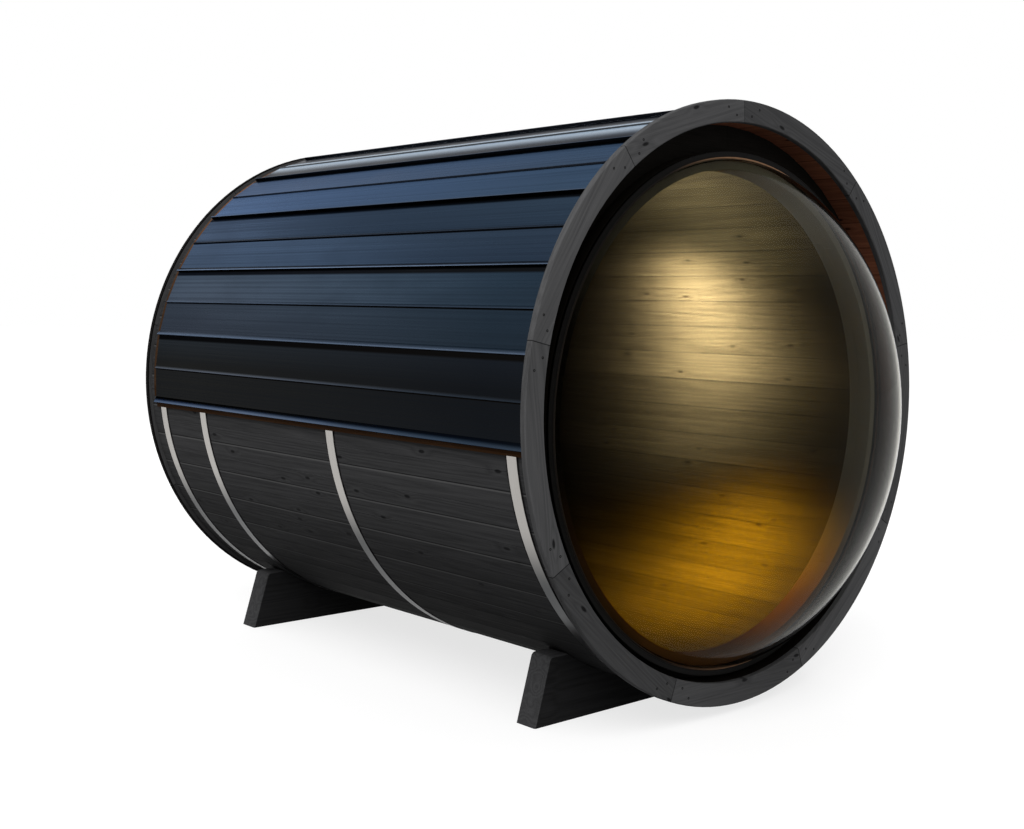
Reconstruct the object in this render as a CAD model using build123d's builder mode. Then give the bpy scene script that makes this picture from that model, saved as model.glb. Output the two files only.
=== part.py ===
from build123d import *
from math import asin, cos, degrees, radians, sin, sqrt, tan
import os

# Barrel sauna: a lying barrel of wooden staves held by steel bands on two cradles.
# A segmented wooden ring closes each end, a bubble window looks out of the front,
# a boarded wall with a door closes the rear, and a standing-seam sheet covers the top.
# Millimetres, +Z up, the barrel lies along Y with the window towards -Y.
# Depths are counted from the face of the front ring towards the rear.

# Whole barrel
barrel_length = 2449
seat = 0.3
overrun = 20

# Staves
stave_count = 50
stave_group_count = 10
stave_apothem = 1013
stave_thickness = 42
bead_half_width = 11
bead_depth = 6
arris = 1.5

# End rings, felloes on the ends of the staves
ring_plate = 21
front_ring_width = 79
rear_ring_width = 63
ring_edge = 3
felloe_count = 9
felloe_angle = 40.6
closing_joint_angle = -2.2

# Steel bands: one near the front, two along the length, one before the last roof batten
band_width = 44
band_sheet = 1.2
front_band_inset = 84
band_clearance = 2
mid_band_shares = (0.443, 0.815)

# End walls, let into a croze in the staves
wall_recess = 105
wall_thickness = 42
croze_depth = 12
wall_segment_count = 8

# Bubble window on its collar
window_drop = 40
collar_gap = 17
collar_width = 62
flange_width = 25
dome_base_depth = 44
dome_rise = 440
dome_sheet = 8
trim_plate = 4
trim_gap = 5

# Standing-seam roof on bent battens
batten_thickness = 6
batten_width = 38
mid_batten_shares = (0.29, 0.63)
batten_show = 22
sheet = 1.2
roof_setback = 78
panel_count = 6
panel_angle = 16.07
eave_angle = 95.2
seam_height = 12
seam_flare = 14
seam_land = 3
rib_height = 5
rib_flare = 10
rib_fall = 2
ridge_inset = 5
ridge_half = 12
tongue = 12
drip_height = 14
drip_run = 22
drip_fall = 2
lath_thickness = 8
lath_width = 38
lath_inset = 6

# Rear wall boards and door
wall_board_count = 16
door_board_count = 6
over_door = 193
under_door = 213
frame_width = 45
frame_proud = 8
leaf_thickness = 40
leaf_clearance = 3
leaf_board_count = 5
vee = 3
hinge_plate = 4
hinge_width = 42
strap_length = 380
frame_leaf_length = 30
knuckle_radius = 7
hinge_height_shares = (0.16, 0.84)
handle_radius = 16
handle_length = 320
handle_stand = 45
handle_post_radius = 10
handle_inset = 75

# Cradles
cradle_shares = (0.129, 0.853)
cradle_waist = 70
cradle_thickness = 95
cradle_base_half = 690
cradle_top_half = 624
cradle_height = 229
cradle_corner = 18
cradle_arris = 5

# Sizes that follow
right_angle = 90
half_pitch_angle = 2 * right_angle / stave_count
bore_radius = stave_apothem - stave_thickness
corner_radius = stave_apothem / cos(radians(half_pitch_angle))
band_radius = corner_radius + seat
axis_height = band_radius + cradle_waist
croze_radius = bore_radius + croze_depth
wall_radius = croze_radius - seat
rear_wall_depth = barrel_length - wall_recess - wall_thickness
collar_radius = bore_radius - window_drop - collar_gap
window_opening_radius = collar_radius - collar_width
dome_base_radius = collar_radius - flange_width
dome_reach = dome_rise - dome_base_depth
front_face_y = -(barrel_length - dome_reach) / 2
bed_radius = band_radius + batten_thickness
fold_radius = (bed_radius + seat) / cos(radians(panel_angle / 4))
roof_start_depth = ring_plate + seat
roof_end_depth = barrel_length - roof_setback
roof_length = roof_end_depth - roof_start_depth
last_batten_end = roof_end_depth + batten_show


def across(depth, drop=0):
    """Plane across the barrel at a depth, facing the front, its origin on the axis."""
    return Plane(
        origin=(0, front_face_y + depth, axis_height - drop),
        x_dir=(1, 0, 0),
        z_dir=(0, -1, 0),
    )


def turned(radius, angle):
    """Point at a radius, at degrees turned from the top towards the right."""
    return (radius * sin(radians(angle)), radius * cos(radians(angle)))


def roof_arc(length):
    """Degrees that a length takes up round the folds of the roof."""
    return degrees(length / fold_radius)


def finish(piece, name):
    """Label a piece and write its file."""
    piece.part.label = name
    export_step(piece.part, f"parts/{name}.step")


os.makedirs("parts", exist_ok=True)

# Staves: a bead on one edge, a cove on the other, flat faces, and a croze near each end
mid_apothem = stave_apothem - stave_thickness / 2
slope = tan(radians(half_pitch_angle))
half_gap = seat / 2


def edge_x(apothem):
    """Half width of a stave at a distance from the barrel's axis."""
    return apothem * slope - half_gap


with BuildSketch() as stave_profile:
    with BuildLine():
        bead_high = mid_apothem + bead_half_width
        bead_low = mid_apothem - bead_half_width
        shoulder = stave_apothem - arris
        bead = ThreePointArc(
            (edge_x(bead_high), bead_high),
            (edge_x(mid_apothem) + bead_depth, mid_apothem),
            (edge_x(bead_low), bead_low),
        )
        cove = ThreePointArc(
            (-edge_x(bead_high), bead_high),
            (-edge_x(mid_apothem) + bead_depth, mid_apothem),
            (-edge_x(bead_low), bead_low),
        )
        Polyline(
            bead @ 0,
            (edge_x(shoulder), shoulder),
            (edge_x(shoulder) - arris, stave_apothem),
            (-edge_x(shoulder) + arris, stave_apothem),
            (-edge_x(shoulder), shoulder),
            cove @ 0,
        )
        Polyline(
            bead @ 1,
            (edge_x(bore_radius), bore_radius),
            (-edge_x(bore_radius), bore_radius),
            cove @ 1,
        )
    make_face()

staves_in_group = stave_count // stave_group_count
group_angle = 2 * half_pitch_angle * staves_in_group
stave_end = barrel_length - ring_plate - seat
stave_length = stave_end - ring_plate - seat
for group in range(stave_group_count):
    with BuildPart() as staves:
        with BuildSketch(across(stave_end)):
            with PolarLocations(
                0,
                staves_in_group,
                start_angle=half_pitch_angle - group * group_angle - group_angle,
                angular_range=group_angle,
                endpoint=False,
            ):
                add(stave_profile.sketch)
        extrude(amount=stave_length)
        for depth in (wall_recess, rear_wall_depth):
            with BuildSketch(across(depth + wall_thickness + seat)):
                Circle(croze_radius)
            extrude(amount=wall_thickness + 2 * seat, mode=Mode.SUBTRACT)
    finish(staves, f"staves_{group + 1:02d}")

# End rings: felloes with one short closing piece beside the top
for name, ring_width, ring_back in (
    ("front_ring", front_ring_width, ring_plate),
    ("rear_ring", rear_ring_width, barrel_length),
):
    with BuildPart() as ring:
        with BuildSketch(across(ring_back)):
            Circle(bore_radius + ring_width)
            Circle(bore_radius, mode=Mode.SUBTRACT)
            for joint in range(felloe_count):
                joint_angle = closing_joint_angle + joint * felloe_angle
                with PolarLocations(bore_radius + ring_width / 2, 1, start_angle=right_angle - joint_angle):
                    Rectangle(ring_width + overrun, 2 * seat, mode=Mode.SUBTRACT)
        extrude(amount=ring_plate)
        outer_face = (Axis.Y, 0) if ring_back == ring_plate else (Axis.Y, -1)
        rims = ring.faces().sort_by(outer_face[0]).group_by(outer_face[0])[outer_face[1]].edges()
        chamfer(rims.filter_by(GeomType.CIRCLE), length=ring_edge)
    finish(ring, name)

# Steel bands round the staves
band_ends = (
    front_band_inset + band_width,
    *(share * barrel_length + band_width / 2 for share in mid_band_shares),
    last_batten_end - batten_width - band_clearance,
)
for number, band_end in enumerate(band_ends, start=1):
    with BuildPart() as band:
        with BuildSketch(across(band_end)):
            Circle(band_radius + band_sheet)
            Circle(band_radius, mode=Mode.SUBTRACT)
        extrude(amount=band_width)
    finish(band, f"steel_band_{number}")

# Window wall and the collar that stands on it, both in segments round the opening
collar_depth = wall_recess - dome_base_depth - dome_sheet - 2 * seat
for name, outline_drop, outline_radius, ring_back, ring_depth in (
    ("window_wall", 0, wall_radius, wall_recess + wall_thickness, wall_thickness),
    ("window_collar", window_drop, collar_radius, wall_recess - seat, collar_depth),
):
    with BuildPart() as surround:
        with BuildSketch(across(ring_back, outline_drop)):
            Circle(outline_radius)
            with Locations((0, outline_drop - window_drop)):
                Circle(window_opening_radius, mode=Mode.SUBTRACT)
            with PolarLocations(outline_radius, wall_segment_count):
                Rectangle(outline_radius, 2 * seat, mode=Mode.SUBTRACT)
        extrude(amount=ring_depth)
    finish(surround, name)

# Bubble window: a blown spherical cap with a flat flange, turned about its own axis
window_axis = Axis((0, front_face_y, axis_height - window_drop), (0, 1, 0))
window_section = Plane(origin=window_axis.position, x_dir=(0, 0, 1), z_dir=(-1, 0, 0))
dome_radius = (dome_base_radius**2 + dome_rise**2) / (2 * dome_rise)
dome_centre = dome_base_depth - dome_rise + dome_radius
flange_back = dome_base_depth + dome_sheet
inner_radius = dome_radius - dome_sheet
inner_base = sqrt(inner_radius**2 - (dome_centre - flange_back) ** 2)


def on_dome(radius, base):
    """Point of a dome of this radius halfway from its base to its crown."""
    half_angle = asin(base / radius) / 2
    return (radius * sin(half_angle), dome_centre - radius * cos(half_angle))


with BuildPart() as window_dome:
    with BuildSketch(window_section):
        with BuildLine():
            outside = ThreePointArc(
                (dome_base_radius, dome_base_depth),
                on_dome(dome_radius, dome_base_radius),
                (0, dome_centre - dome_radius),
            )
            inside = ThreePointArc(
                (inner_base, flange_back),
                on_dome(inner_radius, inner_base),
                (0, dome_centre - inner_radius),
            )
            Line(outside @ 1, inside @ 1)
            Polyline(
                outside @ 0,
                (collar_radius, dome_base_depth),
                (collar_radius, flange_back),
                inside @ 0,
            )
        make_face()
    revolve(axis=window_axis)
finish(window_dome, "window_dome")

# Clamping trim over the flange of the window
with BuildPart() as window_trim:
    with BuildSketch(across(dome_base_depth - seat, window_drop)):
        Circle(collar_radius)
        Circle(dome_base_radius + trim_gap, mode=Mode.SUBTRACT)
    extrude(amount=trim_plate)
    front_rims = window_trim.faces().sort_by(Axis.Y)[0].edges()
    chamfer(front_rims, length=arris)
finish(window_trim, "window_trim")

# Roof battens, bent strips on the staves, and a lath along each eave on the bands


def draw_arch(inner_radius, thickness, start_angle, end_angle):
    """Closed outline of a strip bent round the barrel, from one angle from the top to another."""
    over = CenterArc((0, 0), inner_radius + thickness, right_angle - end_angle, end_angle - start_angle)
    under = CenterArc((0, 0), inner_radius, right_angle - end_angle, end_angle - start_angle)
    Line(over @ 0, under @ 0)
    Line(over @ 1, under @ 1)


batten_ends = (
    roof_start_depth + batten_width,
    *(share * barrel_length + batten_width / 2 for share in mid_batten_shares),
    last_batten_end,
)
lath_start_angle = eave_angle + roof_arc(lath_inset)
lath_base_radius = band_radius + band_sheet + seat
lath_top_radius = lath_base_radius + lath_thickness
with BuildPart() as roof_battens:
    for batten_end in batten_ends:
        with BuildSketch(across(batten_end)):
            with BuildLine():
                draw_arch(band_radius, batten_thickness, -eave_angle, eave_angle)
            make_face()
        extrude(amount=batten_width)
    with BuildSketch(across(roof_end_depth)):
        with BuildLine():
            draw_arch(
                lath_base_radius,
                lath_thickness,
                lath_start_angle,
                lath_start_angle + roof_arc(lath_width),
            )
        make_face()
        mirror(about=Plane.YZ)
    extrude(amount=roof_length)
finish(roof_battens, "roof_battens")

# Roof panels: folded sheets, each with an upstand, a stiffening rib and a flared seam
cap_radius = fold_radius + seam_height
upstand_radius = cap_radius - seat
lip_radius = fold_radius + sheet + seat


def panel_outline(number):
    """Underside of a panel, from its upstand down to its seam, or to the eave on the lowest."""
    upper_angle = number * panel_angle
    rib_angle = upper_angle + panel_angle / 2
    upstand_angle = upper_angle - roof_arc(seam_land) if number else roof_arc(ridge_inset)
    points = [
        turned(upstand_radius, upstand_angle),
        turned(fold_radius, upstand_angle),
        turned(fold_radius, rib_angle - roof_arc(rib_flare)),
        turned(fold_radius + rib_height, rib_angle),
        turned(fold_radius, rib_angle + roof_arc(rib_fall)),
    ]
    if number == panel_count - 1:
        return points + [turned(fold_radius, eave_angle)]
    seam_angle = upper_angle + panel_angle
    return points + [
        turned(fold_radius, seam_angle - roof_arc(seam_land + seam_flare)),
        turned(cap_radius, seam_angle - roof_arc(seam_land)),
        turned(cap_radius, seam_angle),
        turned(lip_radius, seam_angle),
    ]


for number in range(panel_count):
    with BuildPart() as right_panel:
        with BuildSketch(across(roof_end_depth)):
            with BuildLine():
                Polyline(*panel_outline(number))
                offset(amount=sheet, side=Side.LEFT)
            make_face()
        extrude(amount=roof_length)
    finish(right_panel, f"roof_panel_right_{number + 1}")
    with BuildPart() as left_panel:
        mirror(right_panel.part, about=Plane.YZ)
    finish(left_panel, f"roof_panel_left_{number + 1}")

# Ridge cap over the two top upstands
ridge_angle = roof_arc(ridge_half)
with BuildPart() as ridge_cap:
    with BuildSketch(across(roof_end_depth)):
        with BuildLine():
            Polyline(
                turned(lip_radius, -ridge_angle),
                turned(cap_radius, -ridge_angle),
                turned(cap_radius, ridge_angle),
                turned(lip_radius, ridge_angle),
            )
            offset(amount=sheet, side=Side.LEFT)
        make_face()
    extrude(amount=roof_length)
finish(ridge_cap, "ridge_cap")

# Eave trims: a tongue under the lowest panel, then a flared drip edge with a turned-in lip
with BuildPart() as eave_trims:
    with BuildSketch(across(roof_end_depth)):
        with BuildLine():
            Polyline(
                turned(bed_radius + seat, eave_angle - roof_arc(tongue)),
                turned(fold_radius - sheet - seat, eave_angle),
                turned(fold_radius + drip_height, eave_angle + roof_arc(drip_run)),
                turned(lath_top_radius + seat, eave_angle + roof_arc(drip_run + drip_fall)),
            )
            offset(amount=sheet, side=Side.LEFT)
        make_face()
    extrude(amount=roof_length)
    mirror(about=Plane.YZ)
finish(eave_trims, "eave_trims")

# Rear wall of upright boards, cut round the doorway
board_pitch = 2 * wall_radius / wall_board_count
board_width = board_pitch - 2 * seat
doorway_width = door_board_count * board_pitch
side_boards = (wall_board_count - door_board_count) // 2
side_centre = (doorway_width + side_boards * board_pitch) / 2
wall_plane = across(rear_wall_depth + wall_thickness)
door_top = wall_radius - over_door
door_bottom = under_door - wall_radius
for name, centre_x, count, low, high in (
    ("rear_wall_left", -side_centre, side_boards, -wall_radius, wall_radius),
    ("rear_wall_right", side_centre, side_boards, -wall_radius, wall_radius),
    ("rear_wall_over_door", 0, door_board_count, door_top, wall_radius),
    ("rear_wall_under_door", 0, door_board_count, -wall_radius, door_bottom),
):
    with BuildPart() as boards:
        with BuildSketch(wall_plane):
            with Locations((centre_x, (low + high) / 2)):
                with GridLocations(board_pitch, 0, count, 1):
                    Rectangle(board_width, high - low)
            Circle(wall_radius, mode=Mode.INTERSECT)
        extrude(amount=wall_thickness)
        long_edges = boards.edges().filter_by(Axis.Z)
        chamfer(long_edges.group_by(Axis.Y)[0] + long_edges.group_by(Axis.Y)[-1], length=arris)
    finish(boards, name)

# Door frame of two posts, a head and a sill inside the doorway
doorway_height = door_top - door_bottom
doorway_centre = (door_top + door_bottom) / 2
frame_depth = wall_thickness + 2 * frame_proud
post_x = doorway_width / 2 - seat - frame_width / 2
rail_z = doorway_height / 2 - seat - frame_width / 2
clear_width = doorway_width - 2 * (frame_width + seat)
clear_height = doorway_height - 2 * (frame_width + seat)
with BuildPart() as door_frame:
    with BuildSketch(across(rear_wall_depth + wall_thickness + frame_proud)):
        with Locations((-post_x, doorway_centre), (post_x, doorway_centre)):
            Rectangle(frame_width, doorway_height - 2 * seat)
        with Locations((0, doorway_centre - rail_z), (0, doorway_centre + rail_z)):
            Rectangle(clear_width - 2 * seat, frame_width)
    extrude(amount=frame_depth)
finish(door_frame, "door_frame")

# Door leaf, one slab with a vee groove between its boards on both faces
leaf_width = clear_width - 2 * leaf_clearance
leaf_height = clear_height - 2 * leaf_clearance
leaf_back = rear_wall_depth + wall_thickness + frame_proud
groove_pitch = leaf_width / leaf_board_count
with BuildPart() as door_leaf:
    with BuildSketch(across(leaf_back)):
        with Locations((0, doorway_centre)):
            Rectangle(leaf_width, leaf_height)
    extrude(amount=leaf_thickness)
    with BuildSketch(Plane.XY.offset(axis_height + door_bottom - overrun)):
        for face_depth in (leaf_back, leaf_back - leaf_thickness):
            with Locations((0, front_face_y + face_depth)):
                with GridLocations(groove_pitch, 0, leaf_board_count - 1, 1):
                    Rectangle(vee, vee, rotation=right_angle / 2)
    extrude(amount=doorway_height + 2 * overrun, mode=Mode.SUBTRACT)
finish(door_leaf, "door_leaf")

# Strap hinges: a strap on the leaf, a knuckle, and a short plate on the frame
hinge_x = clear_width / 2 - leaf_clearance / 2
strap_x = hinge_x - strap_length / 2
plate_x = hinge_x + frame_leaf_length / 2
with BuildPart() as door_hinges:
    for share in hinge_height_shares:
        hinge_z = doorway_centre - leaf_height / 2 + share * leaf_height
        with BuildSketch(across(leaf_back + seat + hinge_plate)):
            with Locations((strap_x, hinge_z)):
                Rectangle(strap_length, hinge_width)
            with Locations((plate_x, hinge_z)):
                Rectangle(frame_leaf_length, hinge_width)
        extrude(amount=hinge_plate)
        with BuildSketch(Plane.XY.offset(axis_height + hinge_z - hinge_width / 2)):
            with Locations((hinge_x, front_face_y + leaf_back + seat + knuckle_radius)):
                Circle(knuckle_radius)
        extrude(amount=hinge_width)
finish(door_hinges, "door_hinges")

# Door handle: a turned bar on two posts
handle_x = -leaf_width / 2 + handle_inset
handle_depth = leaf_back + seat + handle_stand
with BuildPart() as door_handle:
    with BuildSketch(Plane.XY.offset(axis_height + doorway_centre - handle_length / 2)):
        with Locations((handle_x, front_face_y + handle_depth)):
            Circle(handle_radius)
    extrude(amount=handle_length)
    chamfer(door_handle.edges().filter_by(GeomType.CIRCLE), length=arris)
    with BuildSketch(across(handle_depth)):
        with Locations((handle_x, doorway_centre)):
            with GridLocations(0, handle_length / 2, 1, 2):
                Circle(handle_post_radius)
    extrude(amount=handle_stand)
finish(door_handle, "door_handle")

# Cradles: thick boards with sloped ends, cut to the round of the barrel
for name, share in zip(("cradle_front", "cradle_rear"), cradle_shares):
    with BuildPart() as cradle:
        with BuildSketch(across(share * barrel_length + cradle_thickness)):
            with BuildLine():
                Polyline(
                    (-cradle_base_half, -axis_height),
                    (cradle_base_half, -axis_height),
                    (cradle_top_half, cradle_height - axis_height),
                    (-cradle_top_half, cradle_height - axis_height),
                    close=True,
                )
            make_face()
            fillet(vertices().group_by(Axis.Y)[-1], radius=cradle_corner)
            Circle(band_radius, mode=Mode.SUBTRACT)
        extrude(amount=cradle_thickness)
        ends = cradle.faces().sort_by(Axis.X)
        end_edges = ends[0].edges() + ends[-1].edges()
        chamfer(end_edges.filter_by(Axis.Y, reverse=True), length=cradle_arris)
    finish(cradle, name)
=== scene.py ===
# %% [markdown]
# # Dressing a barrel sauna
#
# The solids of the barrel are already made, in metres, with +Z up. This lesson gives them
# their finishes: charcoal-stained staves, a coated sheet roof, steel bands, and a blown
# bubble window. First the frame is loaded.

# %% Load the frame
from math import cos, pi, radians, sin, sqrt

import bmesh
import bpy
from mathutils import Matrix, Vector


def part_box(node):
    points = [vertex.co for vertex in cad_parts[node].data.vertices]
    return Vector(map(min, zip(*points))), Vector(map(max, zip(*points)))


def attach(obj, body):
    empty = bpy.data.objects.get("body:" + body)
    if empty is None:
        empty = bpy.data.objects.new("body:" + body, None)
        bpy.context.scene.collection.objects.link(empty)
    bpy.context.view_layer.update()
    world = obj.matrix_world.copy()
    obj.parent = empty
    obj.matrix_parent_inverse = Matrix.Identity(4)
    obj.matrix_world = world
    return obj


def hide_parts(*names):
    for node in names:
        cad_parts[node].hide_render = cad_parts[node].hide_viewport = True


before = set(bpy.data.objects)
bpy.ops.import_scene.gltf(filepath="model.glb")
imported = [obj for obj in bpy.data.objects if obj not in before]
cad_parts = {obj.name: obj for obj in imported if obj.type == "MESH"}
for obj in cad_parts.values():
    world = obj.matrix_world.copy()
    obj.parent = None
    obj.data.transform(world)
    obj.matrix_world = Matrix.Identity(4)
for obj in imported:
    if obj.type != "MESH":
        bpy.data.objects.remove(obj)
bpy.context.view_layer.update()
print("nodes:", len(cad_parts))

# %% [markdown]
# Every pattern on a barrel runs round its axis or along it, so the axis comes first. The
# front ring is a full circle, and its box gives the height of the axis, the radius of the
# ring and the plane of its face. The rear ring is a little smaller.

# %% Measure the barrel
ring_low, ring_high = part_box("front_ring")
rear_low, rear_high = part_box("rear_ring")
axis_height = (ring_low.z + ring_high.z) / 2
ring_radius = (ring_high.z - ring_low.z) / 2
rear_radius = (rear_high.x - rear_low.x) / 2
front_y, rear_y = ring_low.y, rear_high.y
print(f"axis {axis_height:.4f} m up, ring radius {ring_radius:.4f} m")
print(f"rear ring radius {rear_radius:.4f} m, length {rear_y - front_y:.3f} m")

# %% [markdown]
# A camera can be set by eye, or by measuring: here its place was worked out from the two
# ellipses of the rings and the lines of the roof. Its place is given in ring radii from the
# middle of the front ring, and its lens in pixels of the picture. The lens is shifted down a
# little, because the camera was held level and the verticals stay upright.

# %% Set the camera
turn, tilt, roll = radians(-42.043), radians(0.145), radians(0.981)
back = Vector((sin(turn) * cos(tilt), -cos(turn) * cos(tilt), sin(tilt)))
right = Vector((cos(turn), sin(turn), 0))
up = back.cross(right)
level_right = cos(roll) * right + sin(roll) * up
level_up = -sin(roll) * right + cos(roll) * up
facing = Matrix((level_right, level_up, back)).transposed().to_4x4()
ring_middle = Vector((0, front_y, axis_height))
stand = Vector((-3.557, -2.773, 0.303)) * ring_radius + ring_middle

picture_width, focal_length = 1024, 1335.645
level_row, middle_row = 310, 414.5
sensor_width = 36
camera = bpy.data.objects.new("camera", bpy.data.cameras.new("camera"))
camera.matrix_world = Matrix.Translation(stand) @ facing
camera.data.sensor_width = sensor_width
camera.data.lens = sensor_width * focal_length / picture_width
camera.data.shift_y = (level_row - middle_row) / picture_width
bpy.context.scene.collection.objects.link(camera)
bpy.context.scene.camera = camera
print(f"camera {[round(v, 3) for v in stand]}, lens {camera.data.lens:.1f} mm")

# %% [markdown]
# Materials are trees of nodes. A few small helpers keep their making readable. The first
# adds a node with its settings and inputs, where an input takes either a plain value or the
# output of another node, which is then linked. The others add one kind of node each.

# %% Helpers for sums and ranges


def node(tree, kind, inputs=None, **settings):
    """Add a node, make its settings, and set or link its inputs."""
    made = tree.nodes.new(kind)
    for name, value in settings.items():
        setattr(made, name, value)
    for socket, value in (inputs or {}).items():
        if isinstance(value, bpy.types.NodeSocket):
            tree.links.new(value, made.inputs[socket])
        else:
            made.inputs[socket].default_value = value
    return made


def calc(tree, operation, *values):
    """Add one step of arithmetic and give back its result."""
    return node(tree, "ShaderNodeMath", dict(enumerate(values)), operation=operation).outputs[0]


def plus(tree, one, other):
    """Add two values."""
    return calc(tree, "ADD", one, other)


def minus(tree, one, other):
    """Take the second value from the first."""
    return calc(tree, "SUBTRACT", one, other)


def times(tree, one, other):
    """Multiply two values."""
    return calc(tree, "MULTIPLY", one, other)


def spread(tree, value, low, high, to_low=0.0, to_high=1.0, smooth=False):
    """Stretch a value from one range to another, held at both ends."""
    inputs = {0: value, 1: low, 2: high, 3: to_low, 4: to_high}
    kind = "SMOOTHSTEP" if smooth else "LINEAR"
    return node(tree, "ShaderNodeMapRange", inputs, interpolation_type=kind).outputs[0]


def split_place(tree, place):
    """Take a place apart into X, Y and Z."""
    return node(tree, "ShaderNodeSeparateXYZ", {0: place}).outputs


def join_place(tree, *values):
    """Make a place of X, Y and Z."""
    return node(tree, "ShaderNodeCombineXYZ", dict(enumerate(values))).outputs[0]


def scale_place(tree, place, factors):
    """Stretch a place, each way by its own factor, before a pattern reads it."""
    inputs = {0: place, 1: factors}
    return node(tree, "ShaderNodeVectorMath", inputs, operation="MULTIPLY").outputs[0]


print("helpers for sums:", [f.__name__ for f in (node, calc, plus, minus, times, spread)])

# %% [markdown]
# Colours are mixed by shares, multiplied, or picked from a ramp. A colour is easiest to read
# off a picture as three numbers up to 255, but a shader needs plain light values, so one
# helper turns the first into the second. Noise is the base of most wear and grain.

# %% Helpers for colours and noise


def blend_colors(tree, share, one, other, mode="MIX"):
    """Mix two colours by a share."""
    inputs = {0: share, 6: one, 7: other}
    return node(tree, "ShaderNodeMix", inputs, data_type="RGBA", blend_type=mode).outputs[2]


def ramp(tree, share, stops, interpolation="LINEAR"):
    """Add a colour ramp with these stops, each a position and a colour."""
    made = node(tree, "ShaderNodeValToRGB", {0: share})
    made.color_ramp.interpolation = interpolation
    elements = made.color_ramp.elements
    elements.remove(elements[1])
    for number, (position, color) in enumerate(stops):
        stop = elements.new(position) if number else elements[0]
        stop.position = position
        stop.color = color
    return made.outputs[0]


def paint(red, green, blue):
    """A colour read from a picture, 0 to 255, as the plain light values a shader needs."""
    parts = (red / 255, green / 255, blue / 255)
    return (*(p / 12.92 if p < 0.0405 else ((p + 0.055) / 1.055) ** 2.4 for p in parts), 1.0)


def noise(tree, place, scale=1.0, detail=2.0, roughness=0.5, flat=False):
    """Add a noise pattern, in space or on a flat sheet, and give back its value."""
    inputs = {"Vector": place, "Scale": scale, "Detail": detail, "Roughness": roughness}
    kind = "2D" if flat else "3D"
    return node(tree, "ShaderNodeTexNoise", inputs, noise_dimensions=kind).outputs[0]


print("charcoal in light values:", [round(v, 4) for v in paint(45, 45, 45)])

# %% [markdown]
# What several materials share is kept in groups: small trees with named inputs and outputs.
# A stave has no flat picture to wrap round it, and it needs none: where a point lies on the
# barrel says which stave it is on and where on that stave. The first group turns a place
# into an angle from the top and a distance from the axis.

# %% A group that says where on the barrel a point lies


def new_group(name, inputs, outputs):
    """Start a shader group with named sockets."""
    tree = bpy.data.node_groups.new(name, "ShaderNodeTree")
    for socket, kind in inputs:
        tree.interface.new_socket(socket, in_out="INPUT", socket_type=kind)
    for socket, kind in outputs:
        tree.interface.new_socket(socket, in_out="OUTPUT", socket_type=kind)
    return tree, tree.nodes.new("NodeGroupInput").outputs, tree.nodes.new("NodeGroupOutput")


def give_out(tree, result, values):
    """Link the results of a group to its outputs."""
    for socket, value in values.items():
        tree.links.new(value, result.inputs[socket])


def use_group(tree, group, inputs=None):
    """Place a group in a tree and give back its outputs."""
    return node(tree, "ShaderNodeGroup", inputs, node_tree=group).outputs


VALUE, VECTOR, COLOR = "NodeSocketFloat", "NodeSocketVector", "NodeSocketColor"
barrel_place, given, result = new_group(
    "barrel_place", [("Place", VECTOR)], [("Turn", VALUE), ("Reach", VALUE), ("Along", VALUE)]
)
tree = barrel_place
parts = split_place(tree, given["Place"])
height = minus(tree, parts[2], axis_height)
squares = [times(tree, leg, leg) for leg in (parts[0], height)]
give_out(tree, result, {
    "Turn": calc(tree, "ARCTAN2", parts[0], height),
    "Reach": calc(tree, "SQRT", plus(tree, *squares)),
    "Along": parts[1],
})
print("barrel place:", len(tree.nodes), "nodes")

# %% [markdown]
# The second group cuts the angle into fifty staves and gives each point its place along,
# across and through its own stave, with its distances from the nearest joint and from the
# upper edge. The width of a stave is measured on its outside, at the radius given here.

# %% A group that lays each stave flat
stave_count, stave_reach = 50, 1.013
half_stave = pi * stave_reach / stave_count
stave_place, given, result = new_group(
    "stave_place",
    [("Place", VECTOR)],
    [("Board", VECTOR), ("Number", VALUE), ("Joint", VALUE), ("Upper edge", VALUE),
     ("Reach", VALUE)],
)
tree = stave_place
on_barrel = use_group(tree, barrel_place, {"Place": given["Place"]})
turn_in_staves = times(tree, on_barrel["Turn"], stave_count / (2 * pi))
steps = plus(tree, turn_in_staves, stave_count + 0.5)
number = calc(tree, "FLOOR", steps)
local = minus(tree, minus(tree, steps, number), 0.5)
across = times(tree, local, 2 * half_stave)
side = calc(tree, "SIGN", on_barrel["Turn"])
give_out(tree, result, {
    "Board": join_place(tree, on_barrel["Along"], across, on_barrel["Reach"]),
    "Number": number,
    "Joint": minus(tree, half_stave, calc(tree, "ABSOLUTE", across)),
    "Upper edge": calc(tree, "MULTIPLY_ADD", across, side, half_stave),
    "Reach": on_barrel["Reach"],
})
print(f"{stave_count} staves, {half_stave * 2000:.0f} mm wide")

# %% [markdown]
# The end rings are sawn from straight boards, so the grain runs straight through each
# felloe and meets the next at an angle. Turning every felloe back to the top of the ring
# lays its grain along X, and one pattern then serves all nine.

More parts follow.
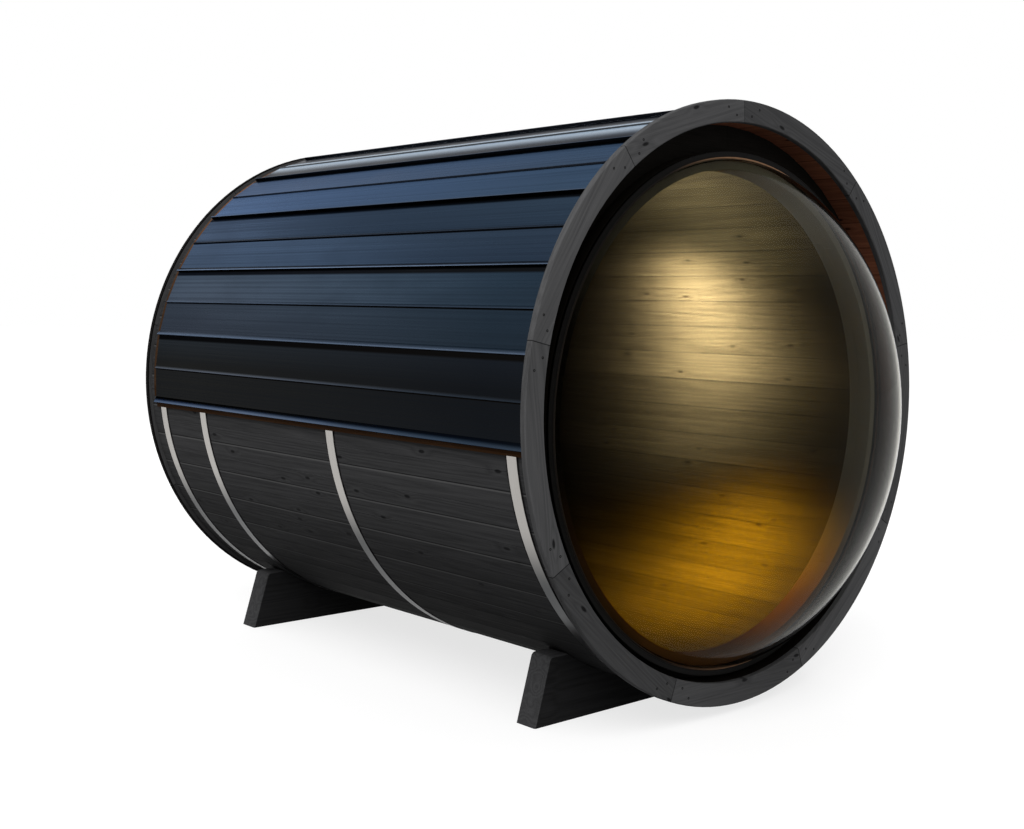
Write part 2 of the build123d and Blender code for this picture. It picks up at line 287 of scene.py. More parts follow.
# %% A group that lays each felloe straight
felloe_count, felloe_turn, first_joint = 9, radians(40.6), radians(-2.2)
felloe_place, given, result = new_group(
    "felloe_place", [("Place", VECTOR)], [("Board", VECTOR), ("Number", VALUE), ("Joint", VALUE)]
)
tree = felloe_place
on_barrel = use_group(tree, barrel_place, {"Place": given["Place"]})
past_first = minus(tree, on_barrel["Turn"], first_joint)
from_joint = calc(tree, "FLOORED_MODULO", past_first, 2 * pi)
number = calc(tree, "FLOOR", calc(tree, "DIVIDE", from_joint, felloe_turn))
middle = times(tree, plus(tree, number, 0.5), felloe_turn)
back_turn = times(tree, plus(tree, middle, first_joint), -1)
turning = {"Vector": given["Place"], "Center": (0, 0, axis_height), "Angle": back_turn}
laid = node(tree, "ShaderNodeVectorRotate", turning, rotation_type="Y_AXIS").outputs[0]
parts = split_place(tree, laid)
past_joint = minus(tree, from_joint, times(tree, number, felloe_turn))
near_joint = calc(tree, "MINIMUM", past_joint, minus(tree, felloe_turn, past_joint))
give_out(tree, result, {
    "Board": join_place(tree, parts[0], parts[2], parts[1]),
    "Number": number,
    "Joint": times(tree, near_joint, ring_radius),
})
print("felloes:", felloe_count)

# %% [markdown]
# Softwood shows three things at arm's length: growth rings drawn out into long arches, fine
# fibre, and knots that the rings flow round. The rings are the contour lines of a stretched
# noise, lifted near each knot. Knots are the nearest points of a cell pattern, and only some
# cells have one. Each board shifts the whole pattern by a number of its own, so that no two
# are alike.

# %% A group for the figure of softwood
wood_figure, given, result = new_group(
    "wood_figure",
    [("Board", VECTOR), ("Number", VALUE), ("Knots", VALUE)],
    [("Rings", VALUE), ("Fibre", VALUE), ("Knot", VALUE), ("Halo", VALUE), ("Tone", VALUE)],
)
tree = wood_figure
knots_per_metre, rings_per_metre, fibres_per_metre = (3.3, 8.5, 0), (0.28, 13, 13), (7, 240, 240)
ring_count, ring_lift = 22.0, 0.07
chances = {"W": given["Number"]}
chance = node(tree, "ShaderNodeTexWhiteNoise", chances, noise_dimensions="1D").outputs
shift = {0: chance["Color"], 1: (7, 7, 7), 2: given["Board"]}
moved = node(tree, "ShaderNodeVectorMath", shift, operation="MULTIPLY_ADD").outputs[0]
scattered = {"Vector": scale_place(tree, moved, knots_per_metre), "Scale": 1.0, "Randomness": 0.9}
cells = node(tree, "ShaderNodeTexVoronoi", scattered, voronoi_dimensions="2D").outputs
draw = node(tree, "ShaderNodeSeparateColor", {0: cells["Color"]}).outputs[0]
has_knot = calc(tree, "LESS_THAN", draw, given["Knots"])
in_knot = spread(tree, cells["Distance"], 0.07, 0.03, smooth=True)
in_halo = spread(tree, cells["Distance"], 0.26, 0.04, smooth=True)
halo = times(tree, in_halo, has_knot)
broad = noise(tree, scale_place(tree, moved, rings_per_metre), detail=1.0, roughness=0.4)
lifted = calc(tree, "MULTIPLY_ADD", halo, ring_lift, broad)
give_out(tree, result, {
    "Rings": calc(tree, "PINGPONG", times(tree, lifted, ring_count), 1.0),
    "Fibre": noise(tree, scale_place(tree, moved, fibres_per_metre), detail=3.0, roughness=0.6),
    "Knot": times(tree, in_knot, has_knot),
    "Halo": halo,
    "Tone": chance["Value"],
})
print("wood figure:", len(tree.nodes), "nodes")

# %% [markdown]
# Stain soaks into softwood unevenly: the soft spring wood drinks more and goes darker, hard
# summer rings and fibres stay a little paler, and knots turn nearly black. One group mixes
# that colour from the figure, and each wooden finish places it with colours of its own.

# %% A group for stained wood
stained_wood, given, result = new_group(
    "stained_wood",
    [("Board", VECTOR), ("Number", VALUE), ("Joint", VALUE), ("Dark", COLOR), ("Pale", COLOR),
     ("Knot color", COLOR), ("Knots", VALUE)],
    [("Color", COLOR), ("Roughness", VALUE), ("Height", VALUE)],
)
tree = stained_wood
joint_edge, joint_floor = 0.0026, 0.0006
figure = use_group(tree, wood_figure, {k: given[k] for k in ("Board", "Number", "Knots")})
paleness = plus(tree, times(tree, figure["Rings"], 0.30), times(tree, figure["Fibre"], 0.74))
stain = blend_colors(tree, paleness, given["Dark"], given["Pale"])
tone = spread(tree, figure["Tone"], 0, 1, 0.82, 1.16)
grey = node(tree, "ShaderNodeCombineColor", {0: tone, 1: tone, 2: tone}).outputs[0]
toned = blend_colors(tree, 1.0, stain, grey, "MULTIPLY")
knotted = blend_colors(tree, times(tree, figure["Knot"], 0.9), toned, given["Knot color"])
in_joint = spread(tree, given["Joint"], joint_edge, joint_floor, smooth=True)
fibre_rough = spread(tree, figure["Fibre"], 0.3, 0.7, 0.86, 0.68)
fibre_relief, ring_relief = times(tree, figure["Fibre"], 0.5), times(tree, figure["Rings"], 0.3)
give_out(tree, result, {
    "Color": blend_colors(tree, times(tree, in_joint, 0.75), knotted, (0.002, 0.002, 0.002, 1)),
    "Roughness": plus(tree, fibre_rough, times(tree, figure["Knot"], -0.14)),
    "Height": plus(tree, fibre_relief, ring_relief),
})


def stain_board(tree, board, dark, pale, knot_color, knots):
    """Stain a board in two tones; its Board, Number and Joint come in a dict."""
    tones = {"Dark": paint(*dark), "Pale": paint(*pale), "Knot color": paint(*knot_color)}
    return use_group(tree, stained_wood, {**board, **tones, "Knots": knots})


print("stained wood:", len(tree.nodes), "nodes")

# %% [markdown]
# A finish is a material with one shader, and the groups feed it. The helper makes the
# material and a shader, and hands back the place of each point in the barrel's own frame.

# %% Helpers for finishes


def new_finish(name, **shader_inputs):
    """Start a material; give back it, its tree, its shader and the place of each point."""
    material = bpy.data.materials.new(name)
    material.use_nodes = True
    tree = material.node_tree
    shader = tree.nodes["Principled BSDF"]
    for socket, value in shader_inputs.items():
        shader.inputs[socket.replace("_", " ")].default_value = value
    place = tree.nodes.new("ShaderNodeTexCoord").outputs["Object"]
    return material, tree, shader, place


def set_surface(tree, shader, color, roughness, height=None, depth=0.0006, strength=0.6):
    """Link colour, roughness and relief to a shader."""
    tree.links.new(color, shader.inputs["Base Color"])
    tree.links.new(roughness, shader.inputs["Roughness"])
    if height is not None:
        relief = {"Height": height, "Distance": depth, "Strength": strength}
        bump = node(tree, "ShaderNodeBump", relief)
        tree.links.new(bump.outputs[0], shader.inputs["Normal"])


def dress(names, material):
    """Give CAD nodes a finish."""
    for name in names:
        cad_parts[name].material_slots[0].material = material
    print(material.name, "on", len(names), "nodes")


print("nodes to dress:", len(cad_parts))

# %% [markdown]
# Outside, the staves are stained charcoal. The recess round the window is oiled a red brown,
# with painted shade darkening it towards the bottom, and behind the window the wood is bare,
# with painted shade darkening it towards the rear. Charcoal and brown meet within the
# thickness of the stave, so the distance from the axis picks between them, and the depth
# behind the ring picks between recess and room.

# %% Staves, charcoal outside and brown inside
charcoal = ((38, 38, 39), (70, 70, 71))
recess_brown = ((82, 48, 35), (140, 88, 65))
room_wood = ((44, 37, 25), (86, 75, 52))
room_knot = (30, 22, 12)
wood_shine = 0.02
recess_depth = 0.12
recess_shade_from, recess_shade_to = axis_height + 0.15, axis_height - 0.55
room_shade_from, room_shade_to = 0.0, 1.0
stave_finish, tree, shader, place = new_finish("stave_wood", Specular_IOR_Level=wood_shine)
on_stave = use_group(tree, stave_place, {"Place": place})
board = {k: on_stave[k] for k in ("Board", "Number", "Joint")}
outside = stain_board(tree, board, *charcoal, (14, 14, 15), 0.62)
recess = stain_board(tree, board, *recess_brown, (40, 18, 10), 0.4)
room = stain_board(tree, board, *room_wood, room_knot, 0.4)
parts = split_place(tree, place)
# painted shade: the recess wood is darkened towards the bottom
shade_darkened = spread(tree, parts[2], recess_shade_from, recess_shade_to, smooth=True)
recess_color = blend_colors(tree, shade_darkened, recess["Color"], paint(14, 11, 9))
# painted shade: the room wood is darkened towards the rear
in_room_shade = spread(tree, parts[1], room_shade_from, room_shade_to, 0.0, 0.7, smooth=True)
room_shaded = blend_colors(tree, in_room_shade, room["Color"], paint(24, 19, 13))
in_room = calc(tree, "GREATER_THAN", parts[1], front_y + recess_depth)
inside = blend_colors(tree, in_room, recess_color, room_shaded)
print("three stains for the staves")

# %% [markdown]
# Three painted marks of light and shade finish the outside. The upper edge of every stave
# has a painted highlight just below the joint, a painted shadow lies in a dark line on both
# sides of each band, and painted shade darkens the lowest staves.

# %% Painted edge highlights and shade on the staves
band_names = [f"steel_band_{n}" for n in range(1, 5)]
highlight_end, highlight_start = 0.0105, 0.005
joint_shade, joint_clear = 0.002, 0.004
band_shadow_reach, band_shadow_core = 0.012, 0.003
underside_shade_top, underside_shade_foot = 0.70, 0.20
skin_reach = 0.992
# painted highlight along the upper edge of every stave, below the joint
edge_highlight = times(tree, spread(tree, on_stave["Upper edge"], highlight_end, highlight_start, smooth=True), 0.5)
edge_highlight = times(tree, edge_highlight, spread(tree, on_stave["Joint"], joint_shade, joint_clear))
edge_lit = blend_colors(tree, edge_highlight, outside["Color"], paint(104, 104, 104))
# painted shadow: a dark line on both sides of each band
band_shadow = 0.0
for name in band_names:
    low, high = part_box(name)
    middle, half = (low.y + high.y) / 2, (high.y - low.y) / 2
    off_band = calc(tree, "ABSOLUTE", minus(tree, parts[1], middle))
    beside = spread(tree, off_band, half + band_shadow_reach, half + band_shadow_core, smooth=True)
    band_shadow = calc(tree, "MAXIMUM", band_shadow, beside)
# painted shade: the lowest staves are darkened
underside_shade = spread(tree, parts[2], underside_shade_top, underside_shade_foot, 0.0, 0.88, smooth=True)
painted_shade_share = calc(tree, "MAXIMUM", times(tree, band_shadow, 0.85), underside_shade)
shaded_outside = blend_colors(tree, painted_shade_share, edge_lit, paint(12, 12, 12))
is_outside = calc(tree, "GREATER_THAN", on_stave["Reach"], skin_reach)
color = blend_colors(tree, is_outside, inside, shaded_outside)
set_surface(tree, shader, color, outside["Roughness"], outside["Height"])
dress([f"staves_{n:02d}" for n in range(1, 11)], stave_finish)

# %% [markdown]
# The felloes are a shade paler than the staves, and each was cut from a board of its own, so
# a ramp in steps gives every felloe its shade. The rim of the rear ring is nearly black, and
# the face of the rear ring a little darker.

# %% Rings of felloes
felloe_shades = (0.65, 0.80, 0.65, 0.93, 0.92, 0.58, 0.73, 0.93, 0.84)
rim_depth = 0.006
felloe_finish, tree, shader, place = new_finish("felloe_wood", Specular_IOR_Level=wood_shine)
on_felloe = use_group(tree, felloe_place, {"Place": place})
board = {k: on_felloe[k] for k in ("Board", "Number", "Joint")}
stained = stain_board(tree, board, (63, 63, 64), (97, 97, 98), (22, 22, 23), 0.55)
which = calc(tree, "DIVIDE", plus(tree, on_felloe["Number"], 0.5), felloe_count)
steps = [(n / felloe_count, (shade, shade, shade, 1.0)) for n, shade in enumerate(felloe_shades)]
shaded = blend_colors(tree, 1.0, stained["Color"], ramp(tree, which, steps, "CONSTANT"), "MULTIPLY")
on_barrel = use_group(tree, barrel_place, {"Place": place})
# the rim of the rear ring is made nearly black, and its face a little darker
at_rim = calc(tree, "GREATER_THAN", on_barrel["Reach"], rear_radius - rim_depth)
at_rear = calc(tree, "GREATER_THAN", on_barrel["Along"], 0.0)
rear_darkening = times(tree, at_rear, calc(tree, "MAXIMUM", at_rim, 0.22))
color = blend_colors(tree, rear_darkening, shaded, paint(17, 16, 16))
set_surface(tree, shader, color, stained["Roughness"], stained["Height"])
dress(["front_ring", "rear_ring"], felloe_finish)

# %% [markdown]
# The cradles are thick boards on edge with the grain along X, so their place serves as it
# is. Their broad faces carry painted shade and look darker than their ends.

# %% Cradles
face_depth = 0.0008
for name in ("cradle_front", "cradle_rear"):
    low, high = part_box(name)
    middle, half = (low.y + high.y) / 2, (high.y - low.y) / 2
    cradle_finish, tree, shader, place = new_finish(name + "_wood", Specular_IOR_Level=wood_shine)
    off_middle = calc(tree, "ABSOLUTE", minus(tree, split_place(tree, place)[1], middle))
    on_face = calc(tree, "GREATER_THAN", off_middle, half - face_depth)
    board = {"Board": place, "Number": 3.0, "Joint": 1.0}
    stained = stain_board(tree, board, (40, 40, 41), (70, 70, 71), (22, 22, 23), 0.5)
    # painted shade: the broad faces are darkened
    shade_darkened = blend_colors(tree, 1.0, stained["Color"], paint(164, 164, 164), "MULTIPLY")
    color = blend_colors(tree, on_face, stained["Color"], shade_darkened)
    set_surface(tree, shader, color, stained["Roughness"], stained["Height"])
    dress([name], cradle_finish)

# %% [markdown]
# The boards of the rear wall and the door stand upright, so here the place is turned before
# the grain reads it, and the number of the board comes from its place across. The room side
# of that wall is bare, as the staves are.

# %% Upright boards of the rear wall and the door
wall_boards = 5
wall_low, wall_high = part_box("rear_wall_left")
board_pitch = (wall_high.x - wall_low.x) / wall_boards
board_finish, tree, shader, place = new_finish("board_wood", Specular_IOR_Level=wood_shine)
parts = split_place(tree, place)
upright = join_place(tree, parts[2], parts[0], parts[1])
number = calc(tree, "FLOOR", calc(tree, "DIVIDE", parts[0], board_pitch))
board = {"Board": upright, "Number": number, "Joint": 1.0}
outside = stain_board(tree, board, *charcoal, (16, 16, 17), 0.6)
inside = stain_board(tree, board, *room_wood, room_knot, 0.45)
is_outside = calc(tree, "GREATER_THAN", parts[1], (wall_low.y + wall_high.y) / 2)
color = blend_colors(tree, is_outside, inside["Color"], outside["Color"])
set_surface(tree, shader, color, outside["Roughness"], outside["Height"])
wall_names = [f"rear_wall_{part}" for part in ("left", "right", "over_door", "under_door")]
dress(wall_names + ["door_frame", "door_leaf", "door_handle"], board_finish)
print(f"boards {board_pitch * 1000:.0f} mm wide")

# %% [markdown]
# A door closes against stops, or daylight would show all round it. Four strips stand on the
# inside of the frame behind the leaf. Each is a box with its edges taken off, and the boxes
# of the leaf and the frame give their places.

# %% Stops behind the door


def new_piece(name, data):
    """Put a mesh or a lamp into the scene as a piece of its own."""
    piece = bpy.data.objects.new(name, data)
    bpy.context.scene.collection.objects.link(piece)
    return piece


leaf_gap, stop_gap = 0.0028, 0.001
stop_width, stop_edge = 0.016, 0.0015
leaf_low, leaf_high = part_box("door_leaf")
stop_front, stop_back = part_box("door_frame")[0].y, leaf_low.y - stop_gap
x_low, x_high = leaf_low.x - leaf_gap, leaf_high.x + leaf_gap
z_low, z_high = leaf_low.z - leaf_gap, leaf_high.z + leaf_gap
x_inner, x_outer = x_low + stop_width, x_high - stop_width
stop_mesh = bpy.data.meshes.new("door_stops")
shape = bmesh.new()
for x0, x1, z0, z1 in (
    (x_low, x_inner, z_low, z_high),
    (x_outer, x_high, z_low, z_high),
    (x_inner, x_outer, z_high - stop_width, z_high),
    (x_inner, x_outer, z_low, z_low + stop_width),
):
    middle = Matrix.Translation(((x0 + x1) / 2, (stop_front + stop_back) / 2, (z0 + z1) / 2))
    size = Matrix.Diagonal((x1 - x0, stop_back - stop_front, z1 - z0, 1))
    bmesh.ops.create_cube(shape, size=1.0, matrix=middle @ size)
bmesh.ops.bevel(shape, geom=shape.edges[:], offset=stop_edge, segments=1, affect="EDGES")
shape.to_mesh(stop_mesh)
shape.free()
stops = new_piece("door_stops", stop_mesh)
stop_mesh.materials.append(board_finish)
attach(stops, "root")
print("door stops:", len(stop_mesh.polygons), "faces")

# %% [markdown]
# The wall round the window is painted a flat brown black, so that the bubble seems to float
# in the barrel. Paint fills the grain, and only a trace of the fibre is left. Under the rim
# of the bubble, where no brush reached, the wood is bare, with painted light and shade by its
# turn round the window: painted shade on the left, a painted grey light from the top round to
# the right, and brown along the bottom. The window has an axis of its own, a little below
# the barrel's, so the place is moved before its turn and reach are read.

# %% Black wall and collar
dome_low, dome_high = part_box("window_dome")
collar_radius = (dome_high.z - dome_low.z) / 2
dome_height = (dome_high.z + dome_low.z) / 2
paint_shine = 0.03
painted_rim = 0.026
painted_shade_end, painted_light_end = radians(-70), radians(10)
bottom_start, bottom_end = radians(100), radians(150)
black_finish, tree, shader, place = new_finish("black_paint", Specular_IOR_Level=paint_shine)
figure = use_group(tree, wood_figure, {"Board": place, "Number": 5.0, "Knots": 0.0})
coat = blend_colors(tree, figure["Fibre"], paint(11, 10, 8), paint(21, 18, 15))
to_axis = {0: place, 1: (0, 0, axis_height - dome_height)}
centred = node(tree, "ShaderNodeVectorMath", to_axis, operation="ADD").outputs[0]
on_window = use_group(tree, barrel_place, {"Place": centred})
under_bubble = calc(tree, "LESS_THAN", on_window["Reach"], collar_radius - painted_rim)
# painted light and shade on the bare wood, by its turn round the window
painted_lit = spread(tree, on_window["Turn"], painted_shade_end, painted_light_end)
bare_wood_and_light = blend_colors(tree, painted_lit, paint(34, 30, 23), paint(176, 173, 164))
low_half = spread(tree, calc(tree, "ABSOLUTE", on_window["Turn"]), bottom_start, bottom_end)
bare_wood_and_light = blend_colors(tree, low_half, bare_wood_and_light, paint(132, 90, 50))
bare_wood_and_light = blend_colors(tree, 0.15, bare_wood_and_light, paint(10, 9, 8))
color = blend_colors(tree, under_bubble, coat, bare_wood_and_light)
rough = spread(tree, figure["Fibre"], 0.3, 0.7, 0.8, 0.6)
relief = times(tree, figure["Fibre"], minus(tree, 1.0, under_bubble))
set_surface(tree, shader, color, rough, relief, strength=0.3)
dress(["window_wall", "window_collar"], black_finish)

# %% [markdown]
# The battens under the roof are bare brown wood. They are bent round the barrel, so they
# take their grain from the staves below. They are darker down the sides, and the straight
# laths under the eaves are darkened with painted shade.

# %% Bare battens and laths under the roof
eave_turn = radians(92.5)
side_dark_from, side_dark_to = radians(30), radians(72)
batten_finish, tree, shader, place = new_finish("batten_wood", Specular_IOR_Level=wood_shine)
on_stave = use_group(tree, stave_place, {"Place": place})
on_barrel = use_group(tree, barrel_place, {"Place": place})
board = {"Board": on_stave["Board"], "Number": 8.0, "Joint": 1.0}
stained = stain_board(tree, board, (92, 60, 38), (142, 100, 66), (50, 28, 14), 0.3)
either_turn = calc(tree, "ABSOLUTE", on_barrel["Turn"])
# painted shade: the laths under the eaves are darkened
eave_shaded = blend_colors(tree, 1.0, stained["Color"], paint(112, 112, 112), "MULTIPLY")
# the battens are darker down the sides
side_darkening = spread(tree, either_turn, side_dark_from, side_dark_to, 0.2, 0.85)
darker_sides = blend_colors(tree, side_darkening, stained["Color"], paint(34, 26, 19))
at_eave = calc(tree, "GREATER_THAN", either_turn, eave_turn)
color = blend_colors(tree, at_eave, darker_sides, eave_shaded)
set_surface(tree, shader, color, stained["Roughness"], stained["Height"])
dress(["roof_battens"], batten_finish)

# %% [markdown]
# The crests of the roof's seams and ribs carry a painted highlight, most of all near the
# ridge, and a dark line of painted shade lies in the fold below each. Such edge marks are
# often read from the shape of the mesh, but here the folds repeat at a steady pitch, so a
# group finds both by the turn of a point. It counts the panels from the ridge; a seam lies at
# every whole number and a rib halfway between.

# %% A group that finds the crests and folds of the sheets
panel_turn = radians(16.07)
panel_width = panel_turn * ring_radius
crest_top = 0.001
ridge_panels = 0.3
seam = dict(pitch_share=0.0, crest_width=0.017, highlight_strength=1.0, fold_width=0.026)
rib = dict(pitch_share=0.5, crest_width=0.010, highlight_strength=0.35, fold_width=0.007)
fold_lines, given, result = new_group(
    "fold_lines", [("Turn", VALUE)], [("Crest highlight", VALUE), ("Fold shade", VALUE), ("Panels", VALUE)]
)
tree = fold_lines
panels = calc(tree, "DIVIDE", calc(tree, "ABSOLUTE", given["Turn"]), panel_turn)
crest_highlights, fold_shades = [], []
# painted highlight above each crest and painted shade in the fold below it
for line in (seam, rib):
    above = calc(tree, "FLOORED_MODULO", minus(tree, line["pitch_share"], panels), 1.0)
    below = calc(tree, "FLOORED_MODULO", minus(tree, panels, line["pitch_share"]), 1.0)
    crest_edges = line["crest_width"] / panel_width, crest_top / panel_width
    fold_edges = line["fold_width"] / panel_width, line["fold_width"] * 0.6 / panel_width
    crest_highlights.append(spread(tree, above, *crest_edges, 0.0, line["highlight_strength"], smooth=True))
    fold_shades.append(spread(tree, below, *fold_edges, smooth=True))
off_ridge = calc(tree, "GREATER_THAN", panels, ridge_panels)
give_out(tree, result, {
    "Crest highlight": times(tree, calc(tree, "MAXIMUM", *crest_highlights), off_ridge),
    "Fold shade": times(tree, calc(tree, "MAXIMUM", *fold_shades), off_ridge),
    "Panels": panels,
})
print("fold lines:", len(tree.nodes), "nodes")

# %% [markdown]
# The roof is thin steel with a dark blue metallic coat, so its colour shows in its sheen and
# the shader is a metal, with the edge reflections held down as a coat does. A ramp gives each
# sheet its shade from the ridge down, partly the blue of its coil and partly painted reflection
# and shade, and the lowest is painted nearly black as shade. A second ramp has the shades of
# the rear end, paler with more painted reflection.

# %% Blue coat and painted sheen of the roof sheets
coated_edge = (0.46, 0.465, 0.475, 1.0)
sheet_finish, tree, shader, place = new_finish(
    "roof_sheet", Metallic=1.0, Specular_Tint=coated_edge
)
on_barrel = use_group(tree, barrel_place, {"Place": place})
fold = use_group(tree, fold_lines, {"Turn": on_barrel["Turn"]})
panel_count = 6
panel_edges = (0.2, 0.98, 1.02, 1.98, 2.02, 2.98, 3.02, 3.98, 4.02, 4.98, 5.02, 5.4)
front_coat_and_sheen = (
    (58, 70, 92), (74, 94, 122), (24, 32, 46), (24, 32, 46), (68, 90, 118), (64, 82, 104),
    (52, 66, 82), (42, 54, 70), (34, 46, 58), (32, 42, 52), (26, 30, 36), (20, 22, 25),
)
rear_coat_and_sheen = (
    (58, 70, 92), (74, 94, 122), (28, 37, 52), (28, 37, 52), (82, 108, 146), (82, 106, 142),
    (54, 66, 84), (46, 56, 70), (50, 58, 68), (52, 58, 68), (44, 48, 52), (36, 36, 35),
)
sheen_from, sheen_to = -0.8, 1.0
# each sheet's shade is the blue of its coat with painted reflection and shade
down_roof = calc(tree, "DIVIDE", fold["Panels"], panel_count)
coats = []
for shades in (front_coat_and_sheen, rear_coat_and_sheen):
    stops = [(edge / panel_count, paint(*shade)) for edge, shade in zip(panel_edges, shades)]
    coats.append(ramp(tree, down_roof, stops))
coat_and_sheen = blend_colors(tree, spread(tree, on_barrel["Along"], sheen_from, sheen_to), *coats)
print("roof shades:", len(front_coat_and_sheen), "at the front,", len(rear_coat_and_sheen), "at the rear")

# %% [markdown]
# The flats are never quite flat: long shallow waves bend the light, which is what makes a
# sheet roof look like sheet. Fine lines of the rolling mill and some dust break up the gloss.
# On the second sheet a painted reflection runs along the rib: there the coat is painted paler
# and less of a metal. The crests carry painted highlights and the folds painted shade. The
# strip along the eaves is duller at a low angle, so it has a copy of the finish with its edge
# colour held down further.

# %% Streaks, painted reflections, highlights and shade of the roof sheets
round_way = times(tree, on_barrel["Turn"], ring_radius)
unrolled = join_place(tree, on_barrel["Along"], round_way, 0.0)


def sheet_noise(along, across, detail):
    """A pattern on the unrolled sheet, stretched along and round the barrel."""
    return noise(tree, scale_place(tree, unrolled, (along, across, 1)), detail=detail, flat=True)


lines = sheet_noise(0.3, 120, 2.0)
waves = sheet_noise(0.9, 7.0, 1.0)
dust = sheet_noise(3.0, 9.0, 4.0)
bright_strip_rise, bright_strip_fall = (1.26, 1.40), (1.82, 1.52)
last_panel = 5.4
streaked = blend_colors(tree, spread(tree, lines, 0.4, 0.7, 0.0, 0.22), coat_and_sheen, paint(20, 24, 30))
# painted reflection along the rib of the second sheet: paler and less of a metal
bright_strip_start = spread(tree, fold["Panels"], *bright_strip_rise, smooth=True)
bright_strip = times(tree, bright_strip_start, spread(tree, fold["Panels"], *bright_strip_fall, smooth=True))
strip_highlighted = blend_colors(tree, bright_strip, streaked, paint(158, 178, 198))
tree.links.new(spread(tree, bright_strip, 0.0, 1.0, 1.0, 0.35), shader.inputs["Metallic"])
off_ridge = spread(tree, fold["Panels"], 0.9, 1.7, smooth=True)
# painted highlight colours for the crests, palest near the ridge
pale = blend_colors(tree, off_ridge, paint(214, 224, 238), paint(86, 100, 120))
to_front = spread(tree, on_barrel["Along"], sheen_to, sheen_from, smooth=True)
eave_highlight = blend_colors(tree, to_front, paint(94, 102, 116), paint(52, 61, 72))
at_eave = calc(tree, "GREATER_THAN", fold["Panels"], last_panel)
crest_highlight_tone = blend_colors(tree, at_eave, pale, eave_highlight)
highlighted = blend_colors(tree, times(tree, fold["Crest highlight"], 0.8), strip_highlighted, crest_highlight_tone)
# painted shade in the fold below each seam and rib
fold_shaded = blend_colors(tree, times(tree, fold["Fold shade"], 0.92), highlighted, paint(14, 12, 10))
line_gloss = spread(tree, lines, 0.3, 0.7, 0.24, 0.30)
gloss = plus(tree, line_gloss, spread(tree, dust, 0.4, 0.7, 0.0, 0.06))
set_surface(tree, shader, fold_shaded, gloss, waves, depth=0.004, strength=0.5)
panel_names = [f"roof_panel_{side}_{n}" for side in ("left", "right") for n in range(1, 7)]
dress(panel_names + ["ridge_cap"], sheet_finish)
eave_finish = sheet_finish.copy()
eave_finish.name = "eave_sheet"
eave_shader = eave_finish.node_tree.nodes["Principled BSDF"]
eave_shader.inputs["Specular Tint"].default_value = (0.085, 0.11, 0.15, 1.0)
dress(["eave_trims"], eave_finish)

# %% [markdown]
# The bands are flat stainless strip with a satin brushing along its length, which on a hoop
# runs round the barrel. Brushing is a very long, very thin noise in the roughness. Painted
# shade darkens the lower part of each hoop to a dark grey.

# %% Satin steel bands
brush_round, brush_across = 4.0, 900.0
shade_top, shade_foot = 0.74, 0.51
dark_top, dark_foot = 0.52, 0.25
steel_finish, tree, shader, place = new_finish("band_steel", Metallic=1.0)
on_barrel = use_group(tree, barrel_place, {"Place": place})
round_way = times(tree, on_barrel["Turn"], ring_radius)
across = times(tree, on_barrel["Along"], brush_across)
strip = join_place(tree, times(tree, round_way, brush_round), across, 0.0)
brushing = noise(tree, strip, flat=True)
metal = blend_colors(tree, brushing, paint(152, 149, 145), paint(180, 177, 173))
height = split_place(tree, place)[2]
# painted shade: the lower part of each hoop is darkened
low_shade = spread(tree, height, shade_top, shade_foot, smooth=True)
shaded_steel = blend_colors(tree, low_shade, metal, paint(60, 61, 62))
shaded_steel = blend_colors(tree, spread(tree, height, dark_top, dark_foot), shaded_steel, paint(32, 32, 33))
rough = spread(tree, brushing, 0.3, 0.7, 0.28, 0.42)
set_surface(tree, shader, shaded_steel, rough, brushing, depth=0.0001, strength=0.3)
dress(band_names, steel_finish)

# %% [markdown]
# The trim round the bubble, the hinges and the screws are black iron with a fine grit in
# their coat. One small noise serves its colour, its roughness and its relief.

# %% Black ironwork of the trim, hinges and screws
iron_finish, tree, shader, place = new_finish("black_iron", Specular_IOR_Level=paint_shine)
grit = noise(tree, place, scale=600.0)
coat = blend_colors(tree, grit, paint(9, 9, 9), paint(18, 17, 16))
rough = spread(tree, grit, 0.3, 0.7, 0.38, 0.55)
set_surface(tree, shader, coat, rough, grit, depth=0.0002, strength=0.3)
dress(["window_trim", "door_hinges"], iron_finish)

# %% [markdown]
# The bubble is blown from one acrylic sheet with a flat flange. A blown sheet is fuller at
# the shoulders than a cap of a sphere, so the profile is such a cap mixed with some of an
# ellipse on the same foot. Its section is a closed line, outside, flange and inside, and the
# wall keeps the thickness of the sheet, because light bends twice on its way through.

# %% Section of the bubble
sheet_thickness, flange_width = 0.008, 0.025
fullness = 0.35
rings_in_cap = 44
base_radius = collar_radius - flange_width
flange_y = dome_high.y - sheet_thickness
rise = flange_y - dome_low.y
sphere_radius = (base_radius**2 + rise**2) / (2 * rise)
outer = []
for n in range(rings_in_cap + 1):
    angle = pi / 2 * n / rings_in_cap
    radius = base_radius * sin(angle)
    cap = sqrt(sphere_radius**2 - radius**2) + rise - sphere_radius
    ellipse = rise * cos(angle)
    outer.append(Vector((radius, flange_y - cap - fullness * (ellipse - cap))))
inner = []
for before, point, after in zip(outer, outer[1:], outer[2:] + outer[-1:]):
    run = (after - before).normalized()
    inner.append(point + sheet_thickness * Vector((-run.y, run.x)))
flange = [(collar_radius, flange_y), (collar_radius, dome_high.y), (inner[-1].x, dome_high.y)]
section = outer[1:] + flange + inner[::-1]
print(f"bubble: {rise:.3f} m deep, {len(section)} points in its section")

# %% [markdown]
# Facets would show at once in anything that mirrors, so the solid is replaced by a finer
# surface: the section is spun round the window's axis, and a fan of triangles closes each
# crown. Only the corners of the flange stay sharp.

